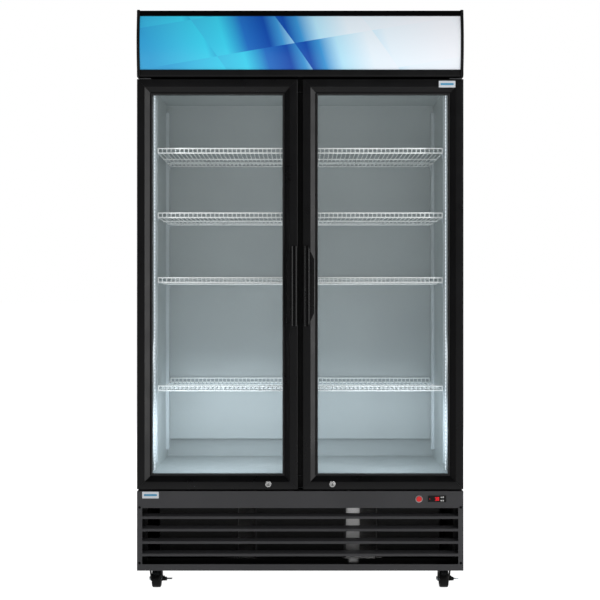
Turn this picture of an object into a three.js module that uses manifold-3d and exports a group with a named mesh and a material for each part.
// Two-door glass door merchandiser: an upright display fridge on casters with a lit sign above its doors.
// Millimetres, +Z up, the doors face -Y, and the origin is on the floor under the middle of the cabinet.
import * as THREE from 'three';
import Module from 'manifold-3d';
import { mergeVertices } from 'three/addons/utils/BufferGeometryUtils.js';

const wasm = await Module();
wasm.setup();

// Driving dimensions
const WIDTH = 1120;
const DEPTH = 700;
const HEIGHT = 2000;
const GAP = 0.3; // clearance kept between neighbours that touch on the real object
const SHEET = 1.5; // cabinet sheet metal
const LINER = 2; // inner liner and trim sheet

// Cabinet
const HALF = WIDTH / 2;
const BACK = DEPTH / 2;
const CABINET_FRONT = -270;
const BODY_BOTTOM = 84;
const BODY_TOP = 1985;
const DECK = 350; // underside of the insulated box
const INNER_HALF = HALF - 42;
const INNER_BACK = 306;
const INNER_FLOOR = 395;
const INNER_TOP = 1943;
const OPENING_TOP = 1725;
const CEILING = 1757; // underside of the evaporator cover
const DUCT_FRONT = 272;
const DUCT_BOTTOM = 465;
const MULLION_HALF = 45;
const MULLION_BACK = -236;
const STRIP_DEPTH = 12; // shelf strips stand this far off the wall
const STRIP_WIDTH = 26;
const STRIP_Y = { front: -180, rear: 247 };
const STRIP_BOTTOM = 428;
const REAR_COVER = { half: 480, bottom: 110, top: 335, recess: 20, sheet: 2 };
const GLAND = { x: -420, z: 150, radius: 11, bore: 5 };

// Doors
const DOOR_FRONT = -328;
const DOOR_BACK = DOOR_FRONT + 46;
const DOOR_BOTTOM = 354;
const DOOR_TOP = 1761;
const DOOR_INNER_X = 9; // half of the gap between the two doors
const FRAME_FLAT = 28;
const FRAME_BEVEL = 45;
const FRAME_LIP = 52;
const GLASS_INSET = 40;
const GLASS_FRONT = DOOR_FRONT + 18;
const GLASS_BACK = GLASS_FRONT + 20;
const PANE = 4;
const GASKET_INSET = [15, 29];
const HINGE = { x: 548, y: -305, pin: 4.5, hole: 5.2, plate: [513, 555], leg: [513, 545] };
const LOCK = { x: 110, z: 372.5, radius: 9.5 };
const HANDLE = { inner: 12.5, outer: 48, bottom: 914, top: 1188, front: -350 };

// Front panel
const PANEL_FRONT = -326;
const PANEL_BOTTOM = 75;
const PANEL_TOP = 348;
const LOUVRE = { half: 542, bottom: 97, top: 290, pitch: 42.7, first: 129, count: 4 };
const SWITCH = { x: 407.5, z: 321, radius: 9.2 };
const MODULE = { x0: 438.5, x1: 500.5, z0: 311, z1: 332 };
const KEY_X = [483.5, 490];
const KEY_Z = [327.4, 316];
const KEY_SIZE = 4.4;

// Canopy
const CANOPY_BOTTOM = 1768;
const CANOPY_TOP = 1997;
const SIGN = { bottom: 1794, top: 1978, edge: -322, bulge: 14, thickness: 3 };
const CAP_WIDTH = 10;
const CANOPY_BACK = -275;

// Shelves
const SHELF_DECKS = [685, 1066, 1294, 1521];
const SHELF = { inner: 22, outer: 503, front: -208, rear: 262, lip: 16, wire: 5, slots: 13 };

// Casters
const CASTER = { x: 501, frontY: -261, rearY: 250, trail: 22, radius: 31.5, width: 31, axle: 4 };

// Refrigeration
const CONDENSER = { x0: -216, x1: 267, front: -200, back: -150, bottom: 118, top: 338 };
const CONDENSER_PLATE = [160, 209]; // bright end plate beside the fan shroud
const CONDENSER_FAN = { x: 0, y: -240, z: 222, radius: 98, hub: 26 };
const SHROUD = { x0: -158, x1: 159, front: -262, bottom: 108, top: 336 };
const COMPRESSOR = { x: -340, y: 130, radius: 85 };
const EVAPORATOR = { x0: -330, x1: 330, front: -90, back: -20, bottom: 1772, top: 1920 };
const EVAPORATOR_FAN = { x: 0, y: -165, z: 1850, radius: 72, hub: 20 };
const HOOD_FRONT = -200; // front wall of the evaporator's housing
const BLADES = 5;

const material = (color, roughness, metalness = 0) =>
  new THREE.MeshStandardMaterial({ color, roughness, metalness });

const MATERIALS = {
  blackPaint: material(0x17181a, 0.42),
  panelPaint: material(0x3d3d3f, 0.5),
  liner: material(0xb4c0c6, 0.45),
  foam: material(0xe3d9a8, 0.9),
  galvanised: material(0x9da1a3, 0.4, 0.9),
  zinc: material(0xc3c8cc, 0.3, 1),
  glass: material(0xdfeaea, 0.05),
  rubber: material(0x1c1c1d, 0.8),
  wire: material(0xe6ecec, 0.35),
  strip: material(0xb8bbc2, 0.35, 0.6),
  fins: material(0x86898b, 0.45, 0.9),
  compressor: material(0x101112, 0.5),
  sign: material(0x9fc4e6, 0.3),
  red: material(0xd3242b, 0.35),
  key: material(0xe8e8e6, 0.5),
  module: material(0x0c0c0d, 0.35),
};

// Geometry helpers

function block(x0, x1, y0, y1, z0, z1) {
  const box = new THREE.BoxGeometry(x1 - x0, y1 - y0, z1 - z0);
  return box.translate((x0 + x1) / 2, (y0 + y1) / 2, (z0 + z1) / 2);
}

// A round bar along one axis, from a to b, centred on (u, v) in the two other axes taken in x, y, z order.
function rod(axis, radius, a, b, u, v, sides = 16) {
  const bar = new THREE.CylinderGeometry(radius, radius, b - a, sides);
  const middle = (a + b) / 2;
  if (axis === 'x') return bar.rotateZ(-Math.PI / 2).translate(middle, u, v);
  if (axis === 'z') return bar.rotateX(Math.PI / 2).translate(u, v, middle);
  return bar.translate(u, middle, v);
}

function extrude(points, length) {
  const shape = new THREE.Shape(points.map(([u, v]) => new THREE.Vector2(u, v)));
  return new THREE.ExtrudeGeometry(shape, { depth: length, bevelEnabled: false });
}

// An outline in (x, y) raised from z0 to z1.
function prismZ(points, z0, z1) {
  return extrude(points, z1 - z0).translate(0, 0, z0);
}

// An outline in (y, z) carried along x from x0 to x1.
function prismX(points, x0, x1) {
  const solid = extrude(points, x1 - x0);
  return solid.applyMatrix4(new THREE.Matrix4().set(0, 0, 1, x0, 1, 0, 0, 0, 0, 1, 0, 0, 0, 0, 0, 1));
}

// An outline in (x, z) carried along y from y0 to y1.
function prismY(points, y0, y1) {
  return extrude(points, y1 - y0).rotateX(Math.PI / 2).translate(0, y1, 0);
}

function toSolid(geometry) {
  const plain = geometry.clone();
  plain.deleteAttribute('normal');
  plain.deleteAttribute('uv');
  const merged = mergeVertices(plain, 1e-3);
  return new wasm.Manifold(
    new wasm.Mesh({
      numProp: 3,
      vertProperties: new Float32Array(merged.attributes.position.array),
      triVerts: new Uint32Array(merged.index.array),
    }),
  );
}

function fromSolid(solid) {
  const mesh = solid.asOriginal().getMesh();
  const geometry = new THREE.BufferGeometry();
  geometry.setAttribute('position', new THREE.BufferAttribute(mesh.vertProperties, 3));
  geometry.setIndex(new THREE.BufferAttribute(mesh.triVerts, 1));
  geometry.computeVertexNormals();
  return geometry;
}

const join = (...geometries) =>
  fromSolid(geometries.map(toSolid).reduce((whole, piece) => whole.add(piece)));

const cut = (base, ...tools) =>
  fromSolid(tools.map(toSolid).reduce((whole, tool) => whole.subtract(tool), toSolid(base)));

const common = (a, b) => fromSolid(toSolid(a).intersect(toSolid(b)));

const mirrorX = (geometry) => fromSolid(toSolid(geometry).mirror([1, 0, 0]));

// A rectangular frame with mitred corners: the section is (inset from the outer edge, y).
function mitredFrame(section, x0, x1, z0, z1) {
  const corners = [
    [x0, z0, 1, 1],
    [x1, z0, -1, 1],
    [x1, z1, -1, -1],
    [x0, z1, 1, -1],
  ];
  const positions = [];
  for (const [x, z, inX, inZ] of corners) {
    for (const [inset, y] of section) positions.push(x + inX * inset, y, z + inZ * inset);
  }
  const index = [];
  const count = section.length;
  for (let corner = 0; corner < 4; corner++) {
    const here = corner * count;
    const next = ((corner + 1) % 4) * count;
    for (let i = 0; i < count; i++) {
      const j = (i + 1) % count;
      index.push(here + i, next + j, next + i, here + i, here + j, next + j);
    }
  }
  const geometry = new THREE.BufferGeometry();
  geometry.setAttribute('position', new THREE.BufferAttribute(new Float32Array(positions), 3));
  geometry.setAttribute('normal', new THREE.BufferAttribute(new Float32Array(positions.length), 3));
  geometry.setAttribute('uv', new THREE.BufferAttribute(new Float32Array((positions.length / 3) * 2), 2));
  geometry.setIndex(index);
  return geometry;
}

// Points of a convex arc in (y, z) between two heights, standing `bulge` proud of `edge` at mid height.
function arcPoints(edge, bulge, z0, z1, steps) {
  const half = (z1 - z0) / 2;
  const radius = (half * half + bulge * bulge) / (2 * bulge);
  const reach = Math.asin(half / radius);
  return Array.from({ length: steps + 1 }, (_, i) => {
    const angle = -reach + (2 * reach * i) / steps;
    const out = radius * Math.cos(angle) - (radius - bulge);
    return [edge - out, (z0 + z1) / 2 + radius * Math.sin(angle)];
  });
}

// A comb outline in (x, y): a solid back with fins standing towards -Y.
function combOutline(x0, x1, front, back, root, fins) {
  const pitch = (x1 - x0) / fins;
  const points = [[x1, back], [x0, back]];
  for (let i = 0; i < fins; i++) {
    const left = x0 + i * pitch;
    points.push([left, front], [left + pitch * 0.35, front]);
    if (i < fins - 1) points.push([left + pitch * 0.35, root], [left + pitch, root]);
  }
  points.push([x0 + fins * pitch - pitch * 0.65, root], [x1, root]);
  return points.reverse();
}

// The object

const merchandiser = new THREE.Group();
merchandiser.name = 'glass_door_merchandiser';

function add(name, geometry, kind, position = [0, 0, 0], parent = merchandiser) {
  const mesh = new THREE.Mesh(geometry, MATERIALS[kind].clone());
  mesh.name = name;
  mesh.position.set(...position);
  parent.add(mesh);
  return mesh;
}

const SIDES = { left: -1, right: 1 };

function cabinet() {
  const returnWidth = 30;
  const rear = REAR_COVER;
  const walls = cut(
    block(-HALF, HALF, CABINET_FRONT, BACK, BODY_BOTTOM, BODY_TOP),
    block(SHEET - HALF, HALF - SHEET, CABINET_FRONT - 1, BACK - SHEET, DECK + SHEET, BODY_TOP - SHEET),
    block(SHEET - HALF, HALF - SHEET, CABINET_FRONT - 1, BACK - SHEET, BODY_BOTTOM - 1, DECK),
    block(-rear.half, rear.half, BACK - 5, BACK + 1, rear.bottom, rear.top),
  );
  const returns = Object.values(SIDES).map((side) => {
    const edges = [side * (HALF - 1), side * (HALF - returnWidth)].sort((a, b) => a - b);
    return block(...edges, CABINET_FRONT, CABINET_FRONT + SHEET, BODY_BOTTOM, DECK - 5);
  });
  add('outer_shell', join(walls, ...returns), 'blackPaint');

  const skin = SHEET + GAP;
  const wall = LINER + GAP;
  add(
    'insulation_foam',
    cut(
      block(skin - HALF, HALF - skin, CABINET_FRONT + wall, BACK - skin, DECK + skin, BODY_TOP - skin),
      block(
        -INNER_HALF - wall, INNER_HALF + wall, CABINET_FRONT, INNER_BACK + wall,
        INNER_FLOOR - wall, INNER_TOP + wall,
      ),
    ),
    'foam',
  );

  const flange = cut(
    block(skin - HALF, HALF - skin, CABINET_FRONT, CABINET_FRONT + LINER, DECK + skin, BODY_TOP - skin),
    block(-INNER_HALF, INNER_HALF, CABINET_FRONT - 1, CABINET_FRONT + 5, INNER_FLOOR, OPENING_TOP),
  );
  const tub = cut(
    block(
      -INNER_HALF - LINER, INNER_HALF + LINER, CABINET_FRONT + 1, INNER_BACK + LINER,
      INNER_FLOOR - LINER, INNER_TOP + LINER,
    ),
    block(-INNER_HALF, INNER_HALF, CABINET_FRONT, INNER_BACK, INNER_FLOOR, INNER_TOP),
  );
  add('inner_liner', join(flange, tub), 'liner');

  const chamfer = 10;
  const mullionOutline = [
    [-MULLION_HALF, CABINET_FRONT],
    [MULLION_HALF, CABINET_FRONT],
    [MULLION_HALF, MULLION_BACK - chamfer],
    [MULLION_HALF - chamfer, MULLION_BACK],
    [chamfer - MULLION_HALF, MULLION_BACK],
    [-MULLION_HALF, MULLION_BACK - chamfer],
  ];
  const post = prismZ(mullionOutline, INNER_FLOOR + GAP, OPENING_TOP - GAP);
  const behindHeader = CABINET_FRONT + LINER + GAP;
  const head = block(
    -MULLION_HALF, MULLION_HALF, behindHeader, MULLION_BACK - chamfer,
    OPENING_TOP - 9, CEILING - GAP,
  );
  const finHalf = 9; // the shelf clips hook into both faces of this fin
  const finBack = STRIP_Y.front + STRIP_WIDTH / 2;
  const fin = block(-finHalf, finHalf, MULLION_BACK - 5, finBack, STRIP_BOTTOM, OPENING_TOP - 20);
  add('centre_mullion', join(post, head, fin), 'blackPaint');

  const trayEdge = HALF - skin;
  const [trayFront, trayBack] = [CABINET_FRONT + skin, BACK - skin];
  const upstand = 22;
  const tray = block(-trayEdge, trayEdge, trayFront, trayBack, BODY_BOTTOM, BODY_BOTTOM + LINER);
  const upstands = [trayFront, trayBack - LINER].map((y) =>
    block(-trayEdge, trayEdge, y, y + LINER, BODY_BOTTOM, BODY_BOTTOM + upstand),
  );
  add('base_tray', join(tray, ...upstands), 'galvanised');
}

function rearCover() {
  const { recess, sheet } = REAR_COVER;
  const half = REAR_COVER.half - GAP;
  const [bottom, top] = [REAR_COVER.bottom + GAP, REAR_COVER.top - GAP];
  const plateFront = BACK - recess;
  const cover = block(-half, half, plateFront, BACK, bottom, top);
  const recessCut = block(
    sheet - half, half - sheet, plateFront + sheet, BACK + 1, bottom + sheet, top - sheet,
  );
  const [slotCount, slotWidth, slotPitch, slotMargin] = [10, 34, 62, 50];
  const firstSlot = -((slotCount - 1) * slotPitch + slotWidth) / 2;
  const slots = Array.from({ length: slotCount }, (_, i) => {
    const x = firstSlot + i * slotPitch;
    return block(x, x + slotWidth, plateFront - 1, plateFront + 3, bottom + slotMargin, top - slotMargin);
  });
  const gland = rod('y', GLAND.radius, plateFront - 8, BACK - 3, GLAND.x, GLAND.z, 12);
  const bore = rod('y', GLAND.bore, plateFront - 9, BACK, GLAND.x, GLAND.z, 10);
  add('rear_grille', cut(join(cut(cover, recessCut, ...slots), gland), bore), 'galvanised');
}

function frontPanel() {
  const sheet = 2;
  const through = [PANEL_FRONT - 1, PANEL_FRONT + 5];
  const switchHole = SWITCH.radius + 1.1;
  const face = cut(
    block(-HALF, HALF, PANEL_FRONT, PANEL_FRONT + sheet, PANEL_BOTTOM, PANEL_TOP),
    block(-LOUVRE.half, LOUVRE.half, ...through, LOUVRE.bottom, LOUVRE.top),
    rod('y', switchHole, ...through, SWITCH.x, SWITCH.z, 20),
    block(MODULE.x0 - GAP, MODULE.x1 + GAP, ...through, MODULE.z0 - GAP, MODULE.z1 + GAP),
  );
  const sideReturns = [
    block(-HALF, sheet - HALF, PANEL_FRONT, CABINET_FRONT - GAP, PANEL_BOTTOM, PANEL_TOP),
    block(HALF - sheet, HALF, PANEL_FRONT, CABINET_FRONT - GAP, PANEL_BOTTOM, PANEL_TOP),
  ];
  const topReturnBack = CABINET_FRONT - 5.5; // clear of the legs of the hinge brackets
  const topReturn = block(-HALF, HALF, PANEL_FRONT, topReturnBack, PANEL_TOP - sheet, PANEL_TOP);
  const lowReturnBack = PANEL_FRONT + 26;
  const lowReturn = block(-HALF, HALF, PANEL_FRONT, lowReturnBack, PANEL_BOTTOM, PANEL_BOTTOM + sheet);
  const slats = Array.from({ length: LOUVRE.count }, (_, i) => {
    const z = LOUVRE.first + i * LOUVRE.pitch;
    const nose = 4.5;
    const slope = 8;
    const rear = PANEL_FRONT + 25;
    const section = [
      [PANEL_FRONT, z - nose],
      [PANEL_FRONT + sheet, z - nose],
      [PANEL_FRONT + sheet, z + nose - sheet],
      [rear, z + nose + slope - sheet],
      [rear, z + nose + slope],
      [PANEL_FRONT, z + nose],
    ];
    return prismX(section, 1 - HALF, HALF - 1);
  });
  add('front_grille', join(face, ...sideReturns, topReturn, lowReturn, ...slats), 'panelPaint');

  const keyPocket = KEY_SIZE / 2 + GAP;
  const front = PANEL_FRONT - 1.5;
  const pocketFloor = front + 3.5;
  const pockets = KEY_X.flatMap((x) =>
    KEY_Z.map((z) =>
      block(x - keyPocket, x + keyPocket, front - 1, pocketFloor, z - keyPocket, z + keyPocket),
    ),
  );
  add(
    'thermostat_module',
    cut(block(MODULE.x0, MODULE.x1, front, front + 55, MODULE.z0, MODULE.z1), ...pockets),
    'module',
  );
  const half = KEY_SIZE / 2;
  const keyPlaces = KEY_Z.flatMap((z) => KEY_X.map((x) => [x, z]));
  keyPlaces.forEach(([x, z], i) => {
    const key = block(-half, half, -1.5, 2, -half, half);
    add(`controller_key_${i + 1}`, key, 'key', [x, front, z]);
  });
  const rocker = rod('y', SWITCH.radius, -4, 6, 0, 0, 20);
  add('rocker_switch', rocker, 'red', [SWITCH.x, PANEL_FRONT, SWITCH.z]);
}

function airDuctPanel() {
  const side = INNER_HALF - GAP;
  const back = INNER_BACK - GAP;
  const duct = cut(
    block(-side, side, DUCT_FRONT, back, DUCT_BOTTOM, CEILING + 1),
    block(LINER - side, side - LINER, DUCT_FRONT + LINER, back + 1, DUCT_BOTTOM - 1, CEILING),
  );
  const airSlotHalf = 450; // cold air falls behind the rear sheet through this slot
  const cover = cut(
    block(-side, side, HOOD_FRONT, back, CEILING, CEILING + LINER),
    block(-airSlotHalf, airSlotHalf, DUCT_FRONT + 8, back - 6, CEILING - 5, CEILING + 5),
  );
  const fan = EVAPORATOR_FAN;
  const front = cut(
    block(-side, side, HOOD_FRONT, HOOD_FRONT + LINER, CEILING, INNER_TOP - 20),
    rod('y', fan.radius + 6, HOOD_FRONT - 1, HOOD_FRONT + 5, fan.x, fan.z, 24),
  );
  const stripHalf = 16;
  const strip = block(
    -stripHalf, stripHalf, DUCT_FRONT - STRIP_DEPTH + 2, DUCT_FRONT + 1, DUCT_BOTTOM + 15, OPENING_TOP,
  );
  add('air_duct_panel', join(duct, cover, front, strip), 'liner');
}

function shelfStrips() {
  const wall = INNER_HALF - GAP;
  const face = INNER_HALF - STRIP_DEPTH;
  const sheet = 1.5;
  const half = STRIP_WIDTH / 2;
  const channel = [
    [face, -half],
    [wall, -half],
    [wall, sheet - half],
    [face + sheet, sheet - half],
    [face + sheet, half - sheet],
    [wall, half - sheet],
    [wall, half],
    [face, half],
  ];
  for (const [sideName, side] of Object.entries(SIDES)) {
    for (const [place, y] of Object.entries(STRIP_Y)) {
      const right = prismZ(channel, STRIP_BOTTOM, OPENING_TOP);
      const strip = side > 0 ? right : mirrorX(right);
      add(`pilaster_${sideName}_${place}`, strip, 'strip', [0, y, 0]);
    }
  }
}

// One wire shelf, centred on x = 0 with its deck wires at z = 0; fewer, wider bars stand for the wires.
function shelfGeometry() {
  const half = (SHELF.outer - SHELF.inner) / 2;
  const bar = SHELF.wire;
  const pitch = (2 * half - bar) / SHELF.slots;
  const slots = Array.from({ length: SHELF.slots }, (_, i) => {
    const left = -half + bar + i * pitch;
    return block(left, left + pitch - bar, SHELF.front + bar, SHELF.rear - bar, -bar, bar);
  });
  const deck = cut(block(-half, half, SHELF.front, SHELF.rear, -bar / 2, bar / 2), ...slots);
  const lips = [SHELF.front, SHELF.rear - bar].flatMap((y) => {
    const rail = block(-half, half, y, y + bar, SHELF.lip - bar / 2, SHELF.lip + bar / 2);
    const posts = [-1, 0, 1].map((share) => {
      const x = share * (half - bar / 2);
      return block(x - bar / 2, x + bar / 2, y, y + bar, 0, SHELF.lip);
    });
    return [rail, ...posts];
  });
  return join(deck, ...lips);
}

function shelves() {
  const geometry = shelfGeometry();
  const middle = (SHELF.inner + SHELF.outer) / 2;
  for (const [sideName, side] of Object.entries(SIDES)) {
    SHELF_DECKS.forEach((z, i) => {
      add(`shelf_${sideName}_${i + 1}`, geometry.clone(), 'wire', [side * middle, 0, z]);
    });
  }
}

function canopy() {
  const back = CANOPY_BACK;
  const face = -325.5;
  const ledge = -315;
  const sheet = LINER;
  const outline = [
    [back, CANOPY_BOTTOM],
    [back, CANOPY_TOP],
    [face + 2.5, CANOPY_TOP],
    [face, CANOPY_TOP - 2.5],
    [face, SIGN.top],
    [ledge, SIGN.top],
    [ledge, CANOPY_TOP - sheet],
    [back - sheet, CANOPY_TOP - sheet],
    [back - sheet, CANOPY_BOTTOM + sheet],
    [ledge, CANOPY_BOTTOM + sheet],
    [ledge, SIGN.bottom],
    [face, SIGN.bottom],
    [face, CANOPY_BOTTOM + 7],
    [face + 2, CANOPY_BOTTOM + 2],
    [face + 6.5, CANOPY_BOTTOM],
  ];
  const end = HALF - CAP_WIDTH - GAP;
  add('canopy_housing', prismX(outline, -end, end), 'blackPaint');

  const outer = arcPoints(SIGN.edge, SIGN.bulge, SIGN.bottom + GAP, SIGN.top - GAP, 12);
  const inner = outer.map(([y, z]) => [y + SIGN.thickness, z]).reverse();
  add('sign_panel', prismX([...outer, ...inner], -end, end), 'sign');

  const proud = 3;
  const capOutline = [
    [CABINET_FRONT - GAP, HEIGHT],
    [CABINET_FRONT - GAP, CANOPY_BOTTOM],
    [face + 4, CANOPY_BOTTOM],
    [face - proud, CANOPY_BOTTOM + 7],
    ...arcPoints(face - proud, SIGN.bulge - proud, SIGN.bottom, SIGN.top, 10),
    [face - proud, HEIGHT - 6],
    [face + 4, HEIGHT],
  ];
  add('canopy_end_cap_left', prismX(capOutline, -HALF, CAP_WIDTH - HALF), 'blackPaint');
  add('canopy_end_cap_right', prismX(capOutline, HALF - CAP_WIDTH, HALF), 'blackPaint');
}

function handleGeometry() {
  const seat = DOOR_FRONT - GAP;
  const { inner, outer, front, bottom, top } = HANDLE;
  const section = [
    [inner, seat],
    [inner, front + 7],
    [inner + 1.5, front + 5.5],
    [inner + 5, front + 6],
    [inner + 7, front + 13],
    [inner + 12, front + 13],
    [inner + 14, front + 2],
    [inner + 16, front],
    [inner + 18, front + 2],
    [inner + 20.5, front + 12],
    [inner + 27.5, front + 14.5],
    [outer, front + 15.5],
    [outer, seat - 0.5],
    [outer - 7, seat],
  ];
  const middle = (bottom + top) / 2;
  const lower = [
    [inner - 1, bottom],
    [inner + 13, bottom],
    [inner + 18, bottom + 9],
    [inner + 22, bottom + 20],
    [inner + 29, bottom + 32],
    [inner + 33, bottom + 41],
    [outer + 1, bottom + 52],
  ];
  const upper = lower.map(([x, z]) => [x, 2 * middle - z]).reverse();
  return common(
    prismZ(section, bottom, top),
    prismY([...lower, ...upper], front - 5, DOOR_FRONT + 5),
  );
}

function lockGeometry() {
  const { radius } = LOCK;
  const barrel = rod('y', radius, DOOR_FRONT - 1.5, DOOR_FRONT + 30, LOCK.x, LOCK.z, 18);
  const face = rod('y', radius + 1, DOOR_FRONT - 3, DOOR_FRONT - 1, LOCK.x, LOCK.z, 18);
  const keyway = block(LOCK.x - 1, LOCK.x + 1, DOOR_FRONT - 4, DOOR_FRONT + 8, LOCK.z - 4.5, LOCK.z + 4.5);
  return cut(join(barrel, face), keyway);
}

function bracketGeometry(top) {
  const plateThickness = 4.4;
  const z = top ? DOOR_TOP + 0.6 : DOOR_BOTTOM - 0.6 - plateThickness;
  const plate = block(...HINGE.plate, HINGE.y - 13, CABINET_FRONT - GAP, z, z + plateThickness);
  const legZ = top ? [z, z + 40] : [z - 44, z + plateThickness];
  const leg = block(...HINGE.leg, CABINET_FRONT - GAP - 4, CABINET_FRONT - GAP, ...legZ);
  const pinZ = top ? [z - 14, z + 1] : [z + 3, z + plateThickness + 14];
  const pin = rod('z', HINGE.pin, ...pinZ, HINGE.x, HINGE.y, 12);
  return join(plate, leg, pin);
}

function doors() {
  const frameSection = [
    [0, DOOR_FRONT + 1.5],
    [0, DOOR_BACK],
    [FRAME_LIP - 2, DOOR_BACK],
    [FRAME_LIP - 2, GLASS_BACK + GAP],
    [GLASS_INSET, GLASS_BACK + GAP],
    [GLASS_INSET, GLASS_FRONT - GAP],
    [FRAME_LIP, GLASS_FRONT - GAP],
    [FRAME_LIP, DOOR_FRONT + 16],
    [FRAME_BEVEL, DOOR_FRONT + 16],
    [FRAME_FLAT, DOOR_FRONT],
    [1.5, DOOR_FRONT],
  ];
  const frame = cut(
    mitredFrame(frameSection, DOOR_INNER_X, HALF, DOOR_BOTTOM, DOOR_TOP),
    rod('z', HINGE.hole, DOOR_BOTTOM - 1, DOOR_BOTTOM + 16, HINGE.x, HINGE.y, 12),
    rod('z', HINGE.hole, DOOR_TOP - 16, DOOR_TOP + 1, HINGE.x, HINGE.y, 12),
    rod('y', LOCK.radius + 0.4, DOOR_FRONT - 1, DOOR_FRONT + 31, LOCK.x, LOCK.z, 18),
  );

  const edge = GLASS_INSET + GAP;
  const spacer = 10;
  const [x0, x1] = [DOOR_INNER_X + edge, HALF - edge];
  const [z0, z1] = [DOOR_BOTTOM + edge, DOOR_TOP - edge];
  const breather = { x: 300, y: GLASS_FRONT + 8, size: 3 }; // opens the space between the panes
  const glass = cut(
    block(x0, x1, GLASS_FRONT, GLASS_BACK, z0, z1),
    block(x0 + spacer, x1 - spacer, GLASS_FRONT + PANE, GLASS_BACK - PANE, z0 + spacer, z1 - spacer),
    block(
      breather.x, breather.x + breather.size, breather.y, breather.y + breather.size,
      z1 - spacer - 1, z1 + 1,
    ),
  );

  const [outerInset, innerInset] = GASKET_INSET;
  const gasketSection = [
    [outerInset, DOOR_BACK + GAP],
    [outerInset, CABINET_FRONT - GAP],
    [innerInset, CABINET_FRONT - GAP],
    [innerInset, DOOR_BACK + GAP],
  ];
  const gasket = mitredFrame(gasketSection, DOOR_INNER_X, HALF, DOOR_BOTTOM, DOOR_TOP);

  const pieces = {
    door_frame: [frame, 'blackPaint'],
    glass_unit: [glass, 'glass'],
    gasket: [gasket, 'rubber'],
    handle: [handleGeometry(), 'blackPaint'],
    lock: [lockGeometry(), 'zinc'],
    hinge_bottom: [bracketGeometry(false), 'zinc'],
    hinge_top: [bracketGeometry(true), 'zinc'],
  };
  for (const [name, [geometry, kind]] of Object.entries(pieces)) {
    add(`${name}_right`, geometry, kind);
    add(`${name}_left`, mirrorX(geometry), kind);
  }
}

function casterFork() {
  const { trail, radius, width, axle } = CASTER;
  const legInner = width / 2 + 2.5;
  const legOuter = legInner + 2.5;
  const bridge = [radius * 2 + 4, radius * 2 + 9];
  const [crownRadius, stemRadius, nutRadius] = [21, 10, 7];
  const crown = rod('z', crownRadius, bridge[0], BODY_BOTTOM - 2, 0, 0, 14);
  const stem = rod('z', stemRadius, BODY_BOTTOM - 5, BODY_BOTTOM - GAP, 0, 0, 10);
  const [legBack, legFront] = [19, -10];
  const legOutline = [
    [legFront, bridge[1]],
    [legFront, radius * 2],
    [trail - 9, radius - 5],
    [trail - 5, radius - 9],
    [trail + 5, radius - 9],
    [trail + 9, radius - 4],
    [legBack, radius * 2],
    [legBack, bridge[1]],
  ];
  const axleBolt = rod('x', axle, -legOuter - 3, legOuter + 1, trail, radius, 12);
  const nut = rod('x', nutRadius, -legOuter - 5, -legOuter + 0.5, trail, radius, 6);
  return join(
    crown,
    stem,
    block(-legOuter, legOuter, legFront, legBack, ...bridge),
    prismX(legOutline, -legOuter, -legInner),
    prismX(legOutline, legInner, legOuter),
    axleBolt,
    nut,
  );
}

function casterWheel() {
  const { radius, width, axle } = CASTER;
  const half = width / 2;
  const bore = axle + 0.6;
  const profile = [
    [bore, -half],
    [12, -half],
    [21, 4 - half],
    [25, -half],
    [radius - 3, -half],
    [radius, 4 - half],
    [radius, half - 4],
    [radius - 3, half],
    [25, half],
    [21, half - 4],
    [12, half],
    [bore, half],
    [bore, -half],
  ].map(([r, along]) => new THREE.Vector2(r, along));
  return new THREE.LatheGeometry(profile, 20).rotateZ(-Math.PI / 2);
}

function brakeLever() {
  const { trail, radius, width } = CASTER;
  const inner = width / 2 + 2.5 + 2.5 + 1.5;
  const hub = rod('x', 9, inner, inner + 6, trail, radius, 14);
  const arm = block(inner + 1, inner + 14, trail - 4, trail + 15, radius - 10, radius + 1);
  const tab = block(inner + 2, inner + 31, trail - 2, trail + 17, radius - 4, radius - 1.5);
  return join(hub, arm, tab);
}

function casters() {
  const places = {
    front_left: [-CASTER.x, CASTER.frontY],
    front_right: [CASTER.x, CASTER.frontY],
    rear_left: [-CASTER.x, CASTER.rearY],
    rear_right: [CASTER.x, CASTER.rearY],
  };
  const fork = casterFork();
  const wheel = casterWheel();
  const lever = brakeLever();
  for (const [name, [x, y]] of Object.entries(places)) {
    const caster = new THREE.Group();
    caster.position.set(x, y, 0);
    merchandiser.add(caster);
    add(`caster_fork_${name}`, fork.clone(), 'zinc', [0, 0, 0], caster);
    add(`caster_wheel_${name}`, wheel.clone(), 'rubber', [0, CASTER.trail, CASTER.radius], caster);
    if (name.startsWith('front')) add(`brake_lever_${name}`, lever.clone(), 'zinc', [0, 0, 0], caster);
  }
}

// A fan turning about Y, centred on the origin, with flat blades set at an angle on its hub.
function fanGeometry(radius, hubRadius, blades, thickness) {
  const hub = rod('y', hubRadius, -thickness / 2, thickness / 2, 0, 0, 16);
  const length = radius - hubRadius + 4;
  const pieces = Array.from({ length: blades }, (_, i) => {
    const blade = new THREE.BoxGeometry(radius * 0.62, 2, length);
    blade.rotateZ(THREE.MathUtils.degToRad(24));
    blade.translate(0, 0, hubRadius - 4 + length / 2);
    return blade.rotateY((2 * Math.PI * i) / blades);
  });
  return join(hub, ...pieces);
}

function coilGeometry({ x0, x1, front, back, bottom, top }, fins) {
  const core = prismZ(combOutline(x0, x1, front, back, front + 10, fins), bottom, top);
  const plates = [x0 - 2, x1 - 1].map((x) => block(x, x + 3, front, back, bottom, top));
  return join(core, ...plates);
}

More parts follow.
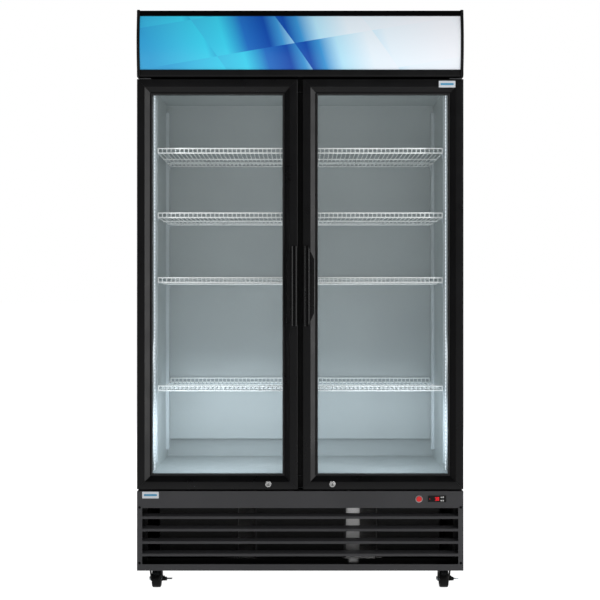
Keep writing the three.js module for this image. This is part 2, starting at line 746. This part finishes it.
function condenser() {
  const c = CONDENSER;
  const trayTop = BODY_BOTTOM + LINER + GAP;
  const feet = [c.x0, c.x1 - 30].map((x) => block(x, x + 30, c.front + 15, c.back, trayTop, c.bottom + 1));
  const sidePlate = block(...CONDENSER_PLATE, c.front - 2, c.front + 2, c.bottom, c.top);
  add('condenser_coil', join(coilGeometry(c, 23), ...feet, sidePlate), 'fins');

  const fan = CONDENSER_FAN;
  const { x0, x1, front, bottom, top } = SHROUD;
  const back = c.front - 2 - GAP;
  const shroud = cut(
    block(x0, x1, front, back, bottom, top),
    rod('y', fan.radius + 6, front - 1, back + 1, fan.x, fan.z, 32),
  );
  const strut = block(-110, 110, back - 5, back - 1, fan.z - 8, fan.z + 8);
  const motor = rod('y', fan.hub + 1, back - 22, back - 1, fan.x, fan.z, 16);
  const stand = block(x0 + 8, x1 - 9, front + 20, back, trayTop, bottom + 1);
  add('condenser_fan_shroud', join(shroud, strut, motor, stand), 'compressor');
  const blades = fanGeometry(fan.radius, fan.hub, BLADES, 22);
  add('condenser_fan_blade', blades, 'compressor', [fan.x, fan.y, fan.z]);
}

function compressor() {
  const { x, y, radius } = COMPRESSOR;
  const [plateBottom, plateTop, top] = [94, 98, 276];
  const wall = 4;
  const dome = [
    [20, plateBottom + 1],
    [radius - 15, plateTop],
    [radius, plateTop + 22],
    [radius, top - 41],
    [radius - 19, top - 11],
    [0, top],
    [0, top - wall],
    [radius - 21, top - 11 - wall],
    [radius - wall, top - 43],
    [radius - wall, plateTop + 24],
    [radius - 17, plateTop + wall],
    [20, plateBottom + 1 + wall],
    [20, plateBottom + 1],
  ].map(([r, z]) => new THREE.Vector2(r, z));
  const shell = new THREE.LatheGeometry(dome, 18).rotateX(Math.PI / 2);
  const plate = cut(
    block(-105, 105, -75, 75, plateBottom, plateTop),
    rod('z', 18, plateBottom - 4, plateTop + 7, 0, 0, 24),
  );
  const trayTop = BODY_BOTTOM + LINER + GAP;
  const dampers = [-90, 90].flatMap((u) =>
    [-60, 60].map((v) => rod('z', 12, trayTop, plateBottom + 1, u, v, 10)),
  );
  const terminalBox = block(radius - 5, radius + 33, -35, 35, 150, 215);
  add('compressor', join(shell, plate, ...dampers, terminalBox), 'compressor', [x, y, 0]);
}

function evaporator() {
  const e = EVAPORATOR;
  const hangers = [e.x0, e.x1 - 30].map((x) =>
    block(x, x + 30, e.front + 20, e.back, e.top - 1, INNER_TOP - GAP),
  );
  const fan = EVAPORATOR_FAN;
  const motor = rod('y', fan.hub + 2, e.front - 45, e.front + 12, fan.x, fan.z, 14);
  add('evaporator_coil', join(coilGeometry(e, 23), ...hangers, motor), 'fins');
  const blades = fanGeometry(fan.radius, fan.hub, BLADES, 20);
  add('evaporator_fan_blade', blades, 'compressor', [fan.x, fan.y, fan.z]);
}

cabinet();
rearCover();
frontPanel();
airDuctPanel();
shelfStrips();
shelves();
canopy();
doors();
casters();
condenser();
compressor();
evaporator();

export default merchandiser;
